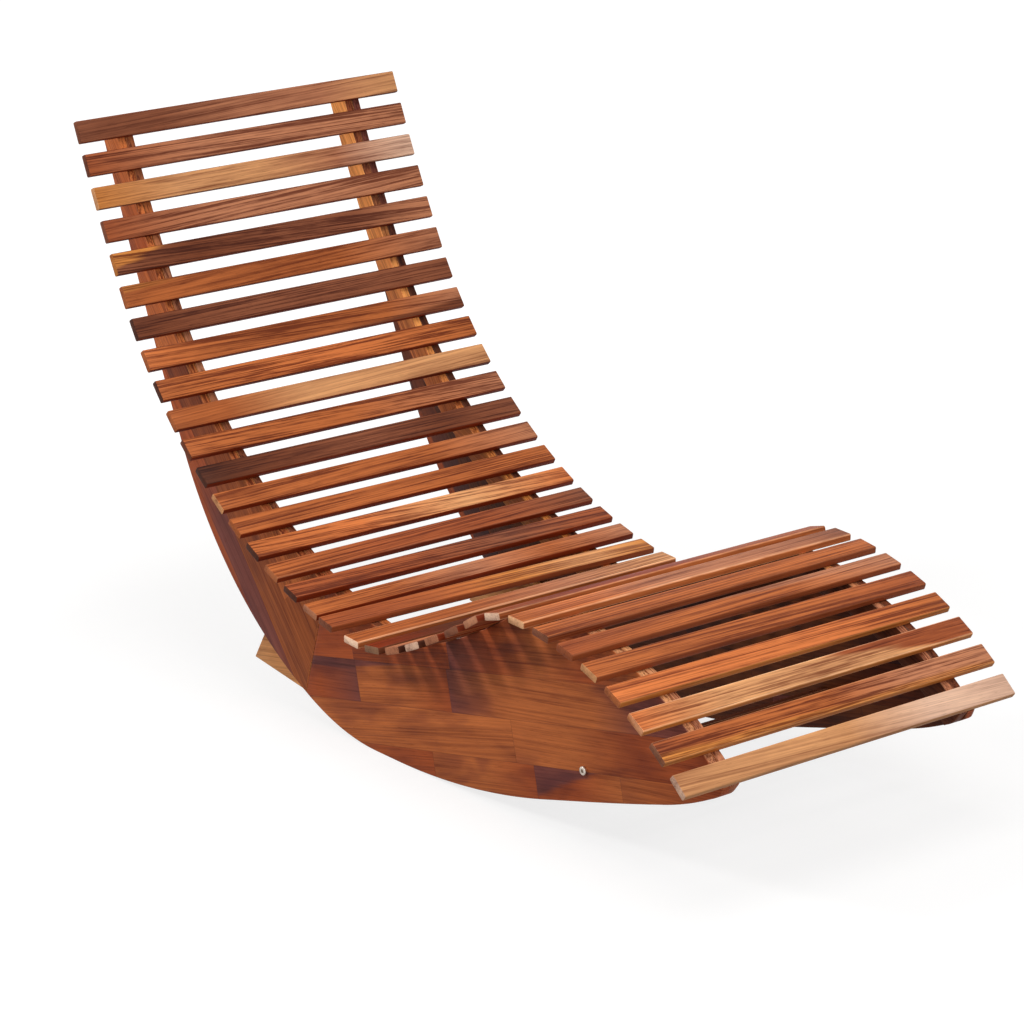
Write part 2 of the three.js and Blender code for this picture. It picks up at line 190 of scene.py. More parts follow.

# Tones of the edges that carry the slats, with their figure, and of the rails' faces and edges, all
# from the head to the tip. The dark tones on the tops are painted shade under the slats, and the
# faces of the left rails, which look into the chair, darken towards the seat and the legs as
# painted shade.
PANEL_TOPS = {
    "rear_panel_right": ("flame flame orange orange russet russet", 1.2),
    "rear_panel_left": ("plum umber umber umber", 0.6),
    "front_panel_right": ("dark dark brown brown brown rose tan rose", 0.8),
    "front_panel_left": ("umber umber dark dark dark dark", 0.8),
}
RAIL_LOOKS = {
    "upper_back_rail_right": ("orange honey", "orange brown orange rose brown rose brown dark"),
    "lower_back_rail_right": ("honey orange", "dark brown russet orange"),
    "seat_rail_right": ("orange orange", "orange brown"),
    "leg_rail_right": ("orange orange", "rose tan rose rose"),
    "upper_back_rail_left": ("amber amber flame flame", "russet brown amber orange"),
    "lower_back_rail_left": ("flame honey russet", "orange honey orange"),
    "seat_rail_left": ("dark umber", "orange rose"),
    "leg_rail_left": ("umber dark", "honey rose rose"),
}
RAIL_FIGURE = 0.35
RAIL_TOP_FIGURE = 0.9
BOARD_LOOK = ("tan amber amber", 0.3)
SPREADER_LOOK = ("dark dark", 0.7)

# Boards of the sides. Turns are in degrees, and edges of an outline under FINE_SEGMENT are fine.
PANEL_ROUNDING = 1.6 * MM
RAIL_ROUNDING = 1.2 * MM
ROUNDING_STEPS = 4
LEAST_MITRE = 0.3
FINE_SEGMENT = 30 * MM
SMOOTHING_STEPS = 5
STRAIGHT_TURN = 0.05
SHARP_TURN = 35.0
SLAT_REACH = 13 * MM
CAD_GRID = 0.01 * MM
CAD_FLATNESS = 0.05 * MM
# Pale arris marks of the boards: rubbing with a painted highlight
BOARD_WEAR_AND_HIGHLIGHT = 0.3

# Pieces softened from their CAD shape, with turns in degrees
SOFTENED_EDGE = 0.8 * MM
SOFTENED_FITTING = 0.3 * MM
SOFTENED_STEPS = 3
BORE_RIM = 5 * MM
FLAT_TURN = 0.5
EDGE_TURN = 40
SHARP_SHADING = 28

# Planks: how far their grain leans and drifts, where their pith may lie, the figure of end grain
# and edges, and half a glue line with the multiple of it at which it has faded
GRAIN_SLOPE = 0.05
GRAIN_DRIFT = 0.02
PITH_PLACES = ((-20, 20), (0.04, 0.16), (-0.05, 0.05))
PLAIN_FIGURE = 0.25
GLUE_LINE, GLUE_FADE = 0.35 * MM, 2.2
NO_BORDER = 1.0

# Noises of the wood: scales along and across the grain, detail, roughness and distortion
GRAIN_NOISES = {
    "cloud": (4, 34, 2.0, 0.5, 0.6),
    "band": (0.9, 75, 2.0),
    "streak": (2.0, 150, 3.0, 0.62),
    "line": (1.6, 360, 2.0, 0.6),
    "fibre": (12, 640, 2.0, 0.6),
    "fleck": (42, 900, 1.0),
    "wavy": (4, 110, 3.0),
    "patch": (7, 17, 2.0, 0.5, 0.4),
    "arris_noise": (22, 60, 3.0),
}
RINGS_STRETCH = (0.3, 1, 1)
RINGS = {"Scale": 30.0, "Distortion": 4.0, "Detail": 1.0, "Detail Scale": 4.0,
         "Detail Roughness": 0.4}

# What each of them adds to the shade, which runs from deep at 0 over plain at 0.5 to pale at 1
RINGS_WEIGHT = 0.22
STREAK_WEIGHT = 2.1
BAND_WEIGHT = -0.3
LINE_WEIGHT = 3.6
FIBRE_WEIGHT = 1.9
CLOUD_WEIGHT = 1.2
PLAIN_SHADE = 0.52

# Where the noises start and end, and how wide the border of a second tone is
BAND_RANGE = (0.58, 0.72)
PATCH_RANGE = (0.48, 0.7)
PORE_RANGE = (0.66, 0.74)
ARRIS_NOISE_RANGE = (0.3, 0.6, 0.35, 1.0)
BORDER_RANGE = (-0.005, 0.005)
BORDER_WAVE = 0.022

# Colours that multiply the tone, and how far they do. Bare wood, lit as a painted highlight, is
# mixed in instead.
DEEP = (0.42, 0.30, 0.27, 1)
PALE = (1.42, 1.50, 1.46, 1)
PATCH, PATCH_SHARE = (0.52, 0.44, 0.6, 1), 0.75
PORE, PORE_SHARE = (0.45, 0.38, 0.36, 1), 0.45
GLUE, GLUE_SHARE = (0.35, 0.27, 0.25, 1), 0.45
# Arris marks: the dark one is painted shade, the pale one rubbing with a painted highlight
PAINTED_SHADE_ARRIS = (0.4, 0.3, 0.28, 1)
RUBBED_AND_LIT_ARRIS, RUBBED_AND_LIT_SHARE = (1.9, 2.2, 2.3, 1), 0.8
BARE_AND_LIT_WOOD, BARE_AND_LIT_SHARE = (0.85, 0.50, 0.30, 1), 0.5

# Gloss and relief: a base value, then what the noises and marks add
WOOD_ROUGHNESS, FIBRE_ROUGHNESS, PORE_ROUGHNESS = 0.46, 0.22, 0.15
FIBRE_HEIGHT, STREAK_HEIGHT, PORE_HEIGHT, JOINT_HEIGHT = 0.5, 0.5, -0.6, -1.2
WOOD_BUMP = {"distance": 0.0003, "strength": 0.55}
WOOD_SPECULAR = 0.12
WOOD_COAT, WOOD_COAT_ROUGHNESS = 0.02, 0.22

# Steel: noises as scale and detail
STEEL_CLEAN, STEEL_DULL = (0.66, 0.58, 0.50, 1), (0.42, 0.36, 0.31, 1)
STAIN_NOISE, STAIN_RANGE = ((160, 160, 160), 3.0), (0.35, 0.7)
MARKS_NOISE = ((900, 200, 900), 2.0)
STEEL_ROUGHNESS, STAIN_ROUGHNESS = 0.18, 0.25
STEEL_BUMP = {"distance": 0.00008, "strength": 0.4}

# Turned fasteners. A bolt's radii are shares of its head's radius, and its depths are counted from
# the panel, or for the socket from the top of the head.
TURNED_SIDES = 48
BOLT_DEPTH = 20 * MM
BOLT_SHANK = 0.6
HEAD_FOOT, HEAD_FOOT_RADIUS = 0.1 * MM, 0.97
HEAD_SIDE = 0.35 * MM
HEAD_ROUNDING = 1.1 * MM
SOCKET_MOUTH = 0.56
SOCKET_FLATS = 0.86
SOCKET_TOP, SOCKET_FLOOR = 0.25 * MM, 2.4 * MM
SOCKET_TIP, SOCKET_TIP_RADIUS = 2.9 * MM, 0.12
# A screw's radii and the arms of its cross recess are shares of its head's radius too
RECESS_TIP, RECESS_TIP_RADIUS = 1.5 * MM, 0.10
RECESS_FLOOR, RECESS_FLOOR_ARMS = 1.3 * MM, (0.28, 0.26)
RECESS_MOUTH_ARMS = (0.62, 0.34)
SCREW_FACE = 0.94
SCREW_RIM = (0.12 * MM, 0.3 * MM)
SCREW_CONE, SCREW_CORE = 0.6, 0.5
SCREW_TAPER, SCREW_TIP = 0.86, 0.06


def linear(hexcode):
    """Linear RGB of an sRGB colour written in six hex digits."""
    values = [int(hexcode[i:i + 2], 16) / 255 for i in (0, 2, 4)]
    return [v / 12.92 if v <= 0.04045 else ((v + 0.055) / 1.055) ** 2.4 for v in values]


TONE = {name: Vector(linear(code)) for name, code in TONES.items()}


class Plank:
    """A length of wood with a grain direction, tones along it and its own place in the log."""

    def __init__(self, seed, origin, along, across, length, tones, figure, second=None, depth=1.0,
                 patches=0.0):
        rng = random.Random(seed)
        self.origin = origin
        self.along, self.across = along, across
        self.up = along.cross(across)
        self.length = length
        # depth below 1 darkens every tone: painted shade of the inner faces
        self.tones = [TONE[name] * depth for name in tones.split()]
        self.figure, self.second, self.patches = figure, second, patches
        self.turn = rng.uniform(0, math.tau)
        self.slope = rng.uniform(-GRAIN_SLOPE, GRAIN_SLOPE)
        self.drift = rng.uniform(-GRAIN_DRIFT, GRAIN_DRIFT)
        self.pith = Vector([rng.uniform(low, high) for low, high in PITH_PLACES])

    def place(self, point):
        gap = point - self.origin
        return Vector((gap.dot(self.along), gap.dot(self.across), gap.dot(self.up)))

    def grain(self, local):
        a, b, c = local
        b, c = b + self.slope * a, c + self.drift * a
        cos, sin = math.cos(self.turn), math.sin(self.turn)
        return Vector((a, b * cos - c * sin, b * sin + c * cos)) + self.pith

    def share(self, local):
        return min(1.0, max(0.0, local[0] / self.length + 0.5))

    def tone(self, local):
        place = self.share(local) * (len(self.tones) - 1)
        first = min(int(place), max(len(self.tones) - 2, 0))
        after = self.tones[min(first + 1, len(self.tones) - 1)]
        return self.tones[first].lerp(after, place - first)

    def border(self, local, half_width):
        """Distance past the border of the second tone, or far below zero where there is none."""
        if not self.second:
            return -NO_BORDER
        _, side, near, far = self.second
        line = near + (far - near) * self.share(local)
        return side * (local[1] - line * half_width)


def new_object(name, mesh):
    obj = bpy.data.objects.new(name, mesh)
    bpy.context.scene.collection.objects.link(obj)
    return obj


def object_from(bm, name):
    mesh = bpy.data.meshes.new(name)
    bmesh.ops.recalc_face_normals(bm, faces=bm.faces)
    bm.to_mesh(mesh)
    bm.free()
    mesh.shade_smooth()
    mesh.set_sharp_from_angle(angle=math.radians(SHARP_SHADING))
    return new_object(name, mesh)


def loft(rings, arris_mark):
    """A closed body through rings of points, with a flat face on its first and last ring. The
    second argument gives each point's arris mark (pale for rubbing and painted highlight, dark for
    painted shade), as rings of numbers."""
    bm = bmesh.new()
    arris_marks = bm.verts.layers.float.new("edge")
    made = []
    for ring, shares in zip(rings, arris_mark):
        verts = [bm.verts.new(point) for point in ring]
        for vert, share in zip(verts, shares):
            vert[arris_marks] = share
        made.append(verts)
    for low, high in zip(made, made[1:]):
        for i in range(len(low)):
            j = (i + 1) % len(low)
            bm.faces.new((low[i], low[j], high[j], high[i]))
    bm.faces.new(made[0][::-1])
    bm.faces.new(made[-1])
    return bm


def rounded(steps):
    """(inset share, depth share, arris mark) of each step of a quarter round, from face to side."""
    out = []
    for step in range(steps + 1):
        angle = math.pi / 2 * step / steps
        out.append((1 - math.sin(angle), 1 - math.cos(angle), math.sin(2 * angle)))
    return out


ATTRIBUTES = {
    "grain": ("FLOAT_VECTOR", "vector"),
    "tone": ("FLOAT_COLOR", "color"),
    "second": ("FLOAT_COLOR", "color"),
    "border": ("FLOAT", "value"),
    "glue": ("FLOAT_COLOR", "color"),
}


def finish_wood(obj, planks, half_width, plain=None):
    """Writes the wood's attributes. planks gives a face's plank and glue lines, and plain gives
    the tone of a face that has one of its own, such as end grain, or None."""
    mesh = obj.data
    written = {name: [] for name in ATTRIBUTES}
    for face in mesh.polygons:
        plank, glue = planks(face)
        own = plain(face) if plain else None
        second = TONE[plank.second[0]] if plank.second else plank.tones[0]
        for corner in face.loop_indices:
            local = plank.place(mesh.vertices[mesh.loops[corner].vertex_index].co)
            tone = own or plank.tone(local)
            written["grain"].extend(plank.grain(local))
            written["tone"].extend((*tone, PLAIN_FIGURE if own else plank.figure))
            written["second"].extend((*(own or second), plank.patches))
            written["border"].append(plank.border(local, half_width))
            written["glue"].extend(glue(local))
    for name, (kind, field) in ATTRIBUTES.items():
        mesh.attributes.new(name, kind, "CORNER").data.foreach_set(field, written[name])


def no_glue(local):
    return (NO_BORDER,) * 4


def slot_of(node):
    subparts = frame["record"]["subparts"]
    return next(part["material_slot"] for part in subparts if part["node"] == node)


def dress(obj, node):
    """Puts a finished piece in place of its CAD node."""
    slot = slot_of(node)
    obj.data.materials.clear()
    obj.data.materials.append(MATERIALS[slot])
    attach(obj, "root")
    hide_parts(node)


# Shader nodes

class Tree:
    """Short names for the nodes of one material."""

    def __init__(self, name):
        self.material = bpy.data.materials.new(name)
        self.material.use_nodes = True
        self.nodes = self.material.node_tree.nodes
        self.links = self.material.node_tree.links
        self.shader = self.nodes["Principled BSDF"]

    def put(self, socket, value):
        if hasattr(value, "is_output"):
            self.links.new(value, socket)
        else:
            socket.default_value = value

    def shade(self, **values):
        """Sets sockets of the shader, written with _ for a space."""
        for name, value in values.items():
            self.put(self.shader.inputs[name.replace("_", " ")], value)

    def node(self, kind, values=(), **settings):
        made = self.nodes.new(kind)
        for name, value in settings.items():
            setattr(made, name, value)
        for name, value in dict(values).items():
            self.put(made.inputs[name], value)
        return made

    def attribute(self, name, output="Vector"):
        made = self.node("ShaderNodeAttribute", attribute_type="GEOMETRY", attribute_name=name)
        return made.outputs[output]

    def math(self, operation, *values, clamp=False):
        made = self.node("ShaderNodeMath", operation=operation, use_clamp=clamp)
        for socket, value in zip(made.inputs, values):
            self.put(socket, value)
        return made.outputs[0]

    def scaled(self, vector, scale):
        made = self.node("ShaderNodeVectorMath", operation="MULTIPLY")
        self.put(made.inputs[0], vector)
        made.inputs[1].default_value = scale
        return made.outputs[0]

    def noise(self, vector, scale, detail=2.0, rough=0.5, bend=0.0):
        values = {"Vector": self.scaled(vector, scale), "Scale": 1.0, "Detail": detail,
                  "Roughness": rough, "Distortion": bend}
        return self.node("ShaderNodeTexNoise", values).outputs["Fac"]

    def ranged(self, value, low, high, to_low=0.0, to_high=1.0, smooth=False):
        kind = "SMOOTHSTEP" if smooth else "LINEAR"
        values = {"Value": value, "From Min": low, "From Max": high, "To Min": to_low,
                  "To Max": to_high}
        return self.node("ShaderNodeMapRange", values, interpolation_type=kind).outputs["Result"]

    def mix(self, share, first, second, blend="MIX"):
        made = self.node("ShaderNodeMix", data_type="RGBA", blend_type=blend)
        self.put(made.inputs["Factor"], share)
        self.put(made.inputs[6], first)
        self.put(made.inputs[7], second)
        return made.outputs[2]

    def multiplied(self, share, colour, factor):
        """The colour, multiplied by a factor as far as the share says."""
        return self.mix(share, colour, self.mix(1.0, colour, factor, "MULTIPLY"))

    def add_share(self, value, weight, total):
        """total plus weight times the value."""
        return self.math("MULTIPLY_ADD", value, weight, total)

    def bump(self, height, distance, strength):
        values = {"Height": height, "Distance": distance, "Strength": strength}
        return self.node("ShaderNodeBump", values).outputs["Normal"]


def figure_shade(t, grain, noise):
    """Shade of the wood's figure, from 0 to 1."""
    def swing(value):
        return t.math("SUBTRACT", value, 0.5)

    rings = t.node("ShaderNodeTexWave", {"Vector": t.scaled(grain, RINGS_STRETCH), **RINGS},
                   wave_type="RINGS", rings_direction="X", wave_profile="SIN").outputs["Fac"]
    shade = t.math("MULTIPLY", swing(rings), RINGS_WEIGHT)
    shade = t.add_share(swing(noise["streak"]), STREAK_WEIGHT, shade)
    shade = t.add_share(t.ranged(noise["band"], *BAND_RANGE, smooth=True), BAND_WEIGHT, shade)
    shade = t.add_share(swing(noise["line"]), LINE_WEIGHT, shade)
    shade = t.add_share(swing(noise["fibre"]), FIBRE_WEIGHT, shade)
    shade = t.math("MULTIPLY", shade, t.attribute("tone", "Alpha"))
    shade = t.add_share(swing(noise["cloud"]), CLOUD_WEIGHT, shade)
    return t.math("ADD", shade, PLAIN_SHADE, clamp=True)


def plain_tone(t, noise):
    """The mesh's tone, or its second tone past the border between them."""
    wave = t.math("SUBTRACT", noise["wavy"], 0.5)
    border = t.add_share(wave, BORDER_WAVE, t.attribute("border", "Fac"))
    past = t.ranged(border, *BORDER_RANGE, smooth=True)
    return t.mix(past, t.attribute("tone", "Color"), t.attribute("second", "Color"))


def arris_wear_and_light(t, noise, colour):
    """Arrises turn pale where their mark is above 0, as rubbing and painted highlight, and dark
    where it is below, as painted shade.
    """
    arris_mark = t.math("MULTIPLY", t.attribute("edge", "Fac"), t.ranged(noise["arris_noise"], *ARRIS_NOISE_RANGE))
    rubbed_and_lit = t.mix(BARE_AND_LIT_SHARE, t.mix(1.0, colour, RUBBED_AND_LIT_ARRIS, "MULTIPLY"), BARE_AND_LIT_WOOD)
    colour = t.mix(t.math("MULTIPLY", arris_mark, RUBBED_AND_LIT_SHARE, clamp=True), colour, rubbed_and_lit)
    return t.multiplied(t.math("MULTIPLY", arris_mark, -1.0, clamp=True), colour, PAINTED_SHADE_ARRIS)


def glue_joint(t):
    """1 in a glue line between staves, and 0 away from it."""
    parts = t.node("ShaderNodeSeparateColor", {"Color": t.attribute("glue", "Color")})
    least = t.attribute("glue", "Alpha")
    for part in parts.outputs:
        least = t.math("MINIMUM", least, part)
    return t.ranged(least, GLUE_LINE, GLUE_FADE * GLUE_LINE, 1.0, 0.0, smooth=True)


def wood_material(name):
    """Oiled hardwood. The tones and the figure's strength come from the mesh."""
    t = Tree(name)
    grain = t.attribute("grain")
    noise = {}
    for kind, (along, across, *rest) in GRAIN_NOISES.items():
        noise[kind] = t.noise(grain, (along, across, across), *rest)
    shade = figure_shade(t, grain, noise)
    base = plain_tone(t, noise)
    deep, pale = t.mix(1.0, base, DEEP, "MULTIPLY"), t.mix(1.0, base, PALE, "MULTIPLY")
    colour = t.mix(t.ranged(shade, 0.0, 0.5), deep, base)
    colour = t.mix(t.ranged(shade, 0.5, 1.0), colour, pale)

    # Soft dark patches of the panels
    patch = t.ranged(noise["patch"], *PATCH_RANGE, smooth=True)
    patch = t.math("MULTIPLY", patch, t.attribute("second", "Alpha"))
    colour = t.multiplied(t.math("MULTIPLY", patch, PATCH_SHARE), colour, PATCH)

    pore, joint = t.ranged(noise["fleck"], *PORE_RANGE), glue_joint(t)
    colour = t.multiplied(t.math("MULTIPLY", pore, PORE_SHARE), colour, PORE)
    colour = arris_wear_and_light(t, noise, colour)
    colour = t.multiplied(t.math("MULTIPLY", joint, GLUE_SHARE), colour, GLUE)

    rough = t.add_share(noise["fibre"], FIBRE_ROUGHNESS, WOOD_ROUGHNESS)
    height = t.math("MULTIPLY", noise["streak"], STREAK_HEIGHT)
    height = t.add_share(noise["fibre"], FIBRE_HEIGHT, height)
    height = t.add_share(pore, PORE_HEIGHT, height)
    height = t.add_share(joint, JOINT_HEIGHT, height)
    t.shade(Base_Color=colour, Roughness=t.add_share(pore, PORE_ROUGHNESS, rough),
            Normal=t.bump(height, **WOOD_BUMP), Specular_IOR_Level=WOOD_SPECULAR,
            Coat_Weight=WOOD_COAT, Coat_Roughness=WOOD_COAT_ROUGHNESS)
    return t.material


def steel_material(name):
    """Plated steel with fine turning marks and a little tarnish."""
    t = Tree(name)
    place = t.node("ShaderNodeTexCoord").outputs["Object"]
    stain, marks = t.noise(place, *STAIN_NOISE), t.noise(place, *MARKS_NOISE)
    t.shade(Base_Color=t.mix(t.ranged(stain, *STAIN_RANGE), STEEL_CLEAN, STEEL_DULL),
            Roughness=t.add_share(stain, STAIN_ROUGHNESS, STEEL_ROUGHNESS),
            Normal=t.bump(marks, **STEEL_BUMP), Metallic=1.0)
    return t.material


def make_materials():
    made = {}
    for entry in frame["record"]["materials"]:
        name = entry["slot"]
        made[name] = steel_material(name) if name == "steel" else wood_material(name)
    return made


MATERIALS = make_materials()


# Places read off the CAD nodes

def largest_normal(mesh):
    """Direction of the largest flat face, turned upwards."""
    areas = {}
    for face in mesh.polygons:
        normal = face.normal if face.normal.z > 0 else -face.normal
        key = tuple(round(v, 2) for v in normal)
        total, _ = areas.get(key, (0.0, normal))
        areas[key] = (total + face.area, normal.copy())
    return max(areas.values(), key=lambda entry: entry[0])[1]


class SlatPlace:
    """Middle, directions and sizes of a slat's CAD node."""

    def __init__(self, node):
        mesh = frame["nodes"][node].data
        self.up = largest_normal(mesh)
        self.along = side_direction(mesh, self.up)
        self.across = self.along.cross(self.up)
        spans = []
        for axis in (self.along, self.across, self.up):
            reach = [vert.co.dot(axis) for vert in mesh.vertices]
            spans.append((min(reach), max(reach)))
        self.sizes = [high - low for low, high in spans]
        middles = [(high + low) / 2 for low, high in spans]
        self.middle = self.along * middles[0] + self.across * middles[1] + self.up * middles[2]


def side_direction(mesh, up):
    """The long direction of a slat: its ends' shared normal."""
    areas = {}
    for face in mesh.polygons:
        if abs(face.normal.dot(up)) < CAD_END_SLOPE and face.normal.y > CAD_END_FACING:
            areas[tuple(round(v, 3) for v in face.normal)] = face.normal.copy()
    return max(areas.values(), key=lambda normal: normal.y).normalized()


SLATS = {node: SlatPlace(node) for node in sorted(frame["nodes"]) if node.startswith("slat_")}


# Slats

def slat_profile(width, thickness, radius, inset):
    """Corner points of a slat's rounded section, and their arris marks."""
    points, arris_marks = [], []
    reach = max(radius - inset, radius * LEAST_ROUNDING)
    for across, up, start in ((1, 1, 0), (-1, 1, 90), (-1, -1, 180), (1, -1, 270)):
        for step in range(ROUNDING_STEPS + 1):
            angle = math.radians(start + 90 * step / ROUNDING_STEPS)
            x = across * (width / 2 - inset - reach) + reach * math.cos(angle)
            z = up * (thickness / 2 - inset - reach) + reach * math.sin(angle)
            points.append((x, z))
            arris_marks.append(math.sin(math.pi * step / ROUNDING_STEPS))
    return points, arris_marks


def slat_stations(length):
    """(place along the slat, inset, arris mark) of its sections, from end to end."""
    ends = [(length / 2 - depth * SLAT_END_ROUNDING, inset * SLAT_END_ROUNDING, arris_mark)
            for inset, depth, arris_mark in rounded(SLAT_END_STEPS)]
    cuts = [(length * (cut / SLAT_CUTS - 0.5), 0.0, 0.0) for cut in range(1, SLAT_CUTS)]
    return [(-reach, inset, arris_mark) for reach, inset, arris_mark in ends] + cuts + ends[::-1]


def make_slat(node, look):
    tones, second, figure, end, edge, arris = look
    place = SLATS[node]
    length, width, thickness = place.sizes
    rings, arris_mark_rings = [], []
    for reach, inset, arris_mark in slat_stations(length):
        points, arris_marks = slat_profile(width, thickness, SLAT_ROUNDING, inset)
        base = place.middle + place.along * reach
        rings.append([base + place.across * x + place.up * z for x, z in points])
        arris_mark_rings.append([arris * max(arris_mark, share) for share in arris_marks])
    obj = object_from(loft(rings, arris_mark_rings), node + "_planed")
    plank = Plank(node, place.middle, place.along, place.across, length, tones, figure, second)

    def plain(face):
        if abs(face.normal.dot(place.along)) > END_FACING:
            return TONE[end]
        # A side edge takes the edge tone, which is painted shade where it is dark
        return TONE[edge] if abs(face.normal.dot(place.across)) > EDGE_FACING else None

    finish_wood(obj, lambda face: (plank, no_glue), width / 2, plain)
    dress(obj, node)


# Outlines of the boards that make the sides

def face_outline(mesh, reach):
    """Outer loop of the flat face at y = reach, as points (x, z) in order."""
    used = {}
    for face in mesh.polygons:
        corners = [mesh.vertices[i].co for i in face.vertices]
        if all(abs(corner.y - reach) < CAD_FLATNESS for corner in corners):
            keys = [tuple(round(v / CAD_GRID) for v in corner) for corner in corners]
            for edge in zip(keys, keys[1:] + keys[:1]):
                used[frozenset(edge)] = used.get(frozenset(edge), 0) + 1
    links = {}
    for edge, count in used.items():
        if count == 1:
            a, b = tuple(edge)
            links.setdefault(a, []).append(b)
            links.setdefault(b, []).append(a)
    loops = []
    while links:
        start = next(iter(links))
        loop, here = [start], links[start][0]
        last = start
        while here != start:
            loop.append(here)
            here, last = next(k for k in links[here] if k != last), here
        for key in loop:
            links.pop(key)
        loops.append([Vector((key[0], key[2])) * CAD_GRID for key in loop])
    return counter_clockwise(max(loops, key=lambda points: abs(area(points))))


def area(points):
    return sum(a.x * b.y - b.x * a.y for a, b in zip(points, points[1:] + points[:1])) / 2


def counter_clockwise(points):
    return points if area(points) > 0 else points[::-1]


def corner_at(points, i):
    """Edges of an outline into and out of its corner i, and the turn between them."""
    before, point, after = points[i - 1], points[i], points[(i + 1) % len(points)]
    into, out = point - before, after - point
    return into, out, abs(into.angle_signed(out))


def without_straight_points(points):
    return [point for i, point in enumerate(points)
            if corner_at(points, i)[2] > math.radians(STRAIGHT_TURN)]


def blended(into, out):
    """A direction between two edges, nearer the shorter one's."""
    return (into.normalized() * out.length + out.normalized() * into.length).normalized()


def tangent_at(points, i):
    """Direction of the smooth outline at an end of a fine edge, or None where it turns sharply.
    Next to a long edge it is that edge's."""
    into, out, turn = corner_at(points, i)
    if turn > math.radians(SHARP_TURN):
        return None
    fine = [edge.length < FINE_SEGMENT for edge in (into, out)]
    if fine[0] != fine[1]:
        return (out if fine[0] else into).normalized()
    return blended(into, out)


def wide_tangent_at(points, i):
    """The same at an end of a long edge, which also stays sharp next to a very fine one."""
    into, out, turn = corner_at(points, i)
    if turn > math.radians(SHARP_TURN) or min(into.length, out.length) < FINE_SEGMENT / 2:
        return None
    return blended(into, out)


def under_slat(point):
    spot = Vector((point.x, 0, point.y))
    for slat in SLATS.values():
        gap = spot - slat.middle
        if abs(gap.dot(slat.up)) < SLAT_REACH and abs(gap.dot(slat.across)) < slat.sizes[1]:
            return True
    return False


def smooth_edge(points, i):
    """Points of the smooth outline from corner i up to the next one, without that one. An edge that
    carries a slat stays straight."""
    after = (i + 1) % len(points)
    start, end = points[i], points[after]
    fine = (end - start).length < FINE_SEGMENT
    if not fine and under_slat((start + end) / 2):
        return [start]
    tangent = tangent_at if fine else wide_tangent_at
    steps = SMOOTHING_STEPS if fine else 2 * SMOOTHING_STEPS
    tangents = [tangent(points, i), tangent(points, after)]
    return [hermite(start, end, tangents, step / steps) for step in range(steps)]


def hermite(start, end, tangents, share):
    chord = end - start
    first = tangents[0] or chord.normalized()
    last = tangents[1] or chord.normalized()
    s, s2, s3 = share, share ** 2, share ** 3
    pull = chord.length
    return (start * (2 * s3 - 3 * s2 + 1) + first * pull * (s3 - 2 * s2 + s)
            + end * (3 * s2 - 2 * s3) + last * pull * (s3 - s2))


def smooth_outline(points):
    points = without_straight_points(points)
    out = []
    for i in range(len(points)):
        out.extend(smooth_edge(points, i))
    left, right = min(p.x for p in points), max(p.x for p in points)
    low, high = min(p.y for p in points), max(p.y for p in points)
    return [Vector((min(max(p.x, left), right), min(max(p.y, low), high))) for p in out]


def inset_outline(points, inset):
    """The outline moved inwards, mitred at its corners."""
    if inset == 0:
        return points
    out = []
    count = len(points)
    for i, point in enumerate(points):
        into = (point - points[i - 1]).normalized()
        leave = (points[(i + 1) % count] - point).normalized()
        mitre = Vector((-into.y - leave.y, into.x + leave.x)).normalized()
        cos = max(LEAST_MITRE, mitre.dot(Vector((-into.y, into.x))))
        out.append(point + mitre * (inset / cos))
    return out


def board_rings(outline, low, high, radius):
    """Rings of a board on edge between y = low and y = high, with rounded rims, and their arris
    marks.
    """
    rings, arris_mark_rings = [], []
    steps = [(inset * radius, depth * radius, arris_mark)
             for inset, depth, arris_mark in rounded(ROUNDING_STEPS)]
    places = [(low + depth, inset, arris_mark) for inset, depth, arris_mark in steps]
    places += [(high - depth, inset, arris_mark) for inset, depth, arris_mark in reversed(steps)]
    for y, inset, arris_mark in places:
        rings.append([Vector((p.x, y, p.y)) for p in inset_outline(outline, inset)])
        arris_mark_rings.append([BOARD_WEAR_AND_HIGHLIGHT * arris_mark] * len(outline))
    return rings, arris_mark_rings


def board_body(node, radius):
    low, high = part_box(node)
    mesh = frame["nodes"][node].data
    outer = low.y if low.y + high.y < 0 else high.y
    outline = smooth_outline(face_outline(mesh, outer))
    rings, arris_mark_rings = board_rings(outline, low.y, high.y, radius)
    return loft(rings, arris_mark_rings)


# Staves

